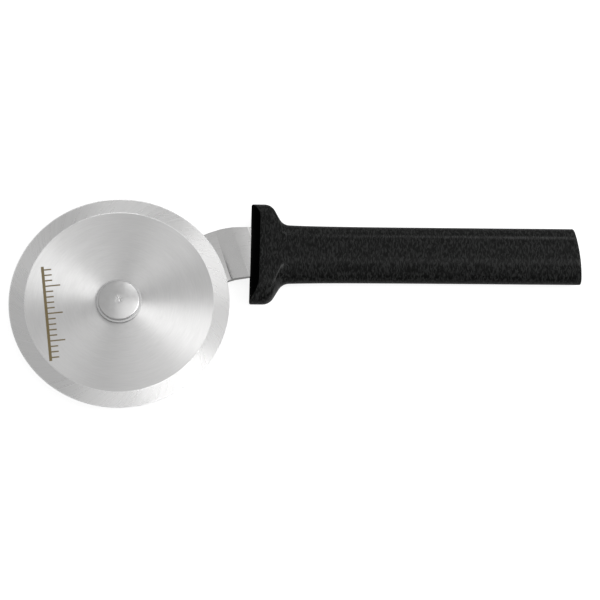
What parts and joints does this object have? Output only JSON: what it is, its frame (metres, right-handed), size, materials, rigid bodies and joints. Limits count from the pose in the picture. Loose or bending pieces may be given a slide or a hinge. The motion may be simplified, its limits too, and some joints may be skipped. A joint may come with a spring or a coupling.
{
  "type": "pastry cutter wheel",
  "caption": "Hand-held cutting wheel: a bevelled steel disc turning on a riveted bush, on a joggled strip arm set in a moulded black handle with a cross guard.",
  "frame": {"origin": "on the wheel's axle, at the flat end of the rivet's tail, which is the plane that the cutter lies on", "axes": "+X along the handle towards its butt, +Y across it towards the side that the handle is offset to, +Z along the axle towards the rivet's domed head"},
  "size_m": [0.1982, 0.0762, 0.0136],
  "materials": {
    "wheel_steel": "stainless, flat face brushed in circles, bevel ground",
    "washer_steel": "stainless, satin",
    "rivet_steel": "stainless, polished dome with a small struck mark in the middle",
    "strip_steel": "stainless, satin, grain along the strip",
    "handle_resin": "black moulded resin, fine irregular grain, smooth front face on the guard"
  },
  "bodies": {
    "frame": {"handle": "handle_resin", "arm": "strip_steel", "axle_rivet": "rivet_steel", "tail_washer": "washer_steel", "spacer_washer": "washer_steel", "hub_bush": "washer_steel", "head_washer": "washer_steel"},
    "wheel": {"cutting_wheel": "wheel_steel"}
  },
  "joints": [
    {"name": "wheel_spin", "type": "hinge", "parent": "frame", "child": "wheel", "pos_m": [0, 0, 0.00675], "axis": [0, 0, 1], "continuous": true}
  ]
}
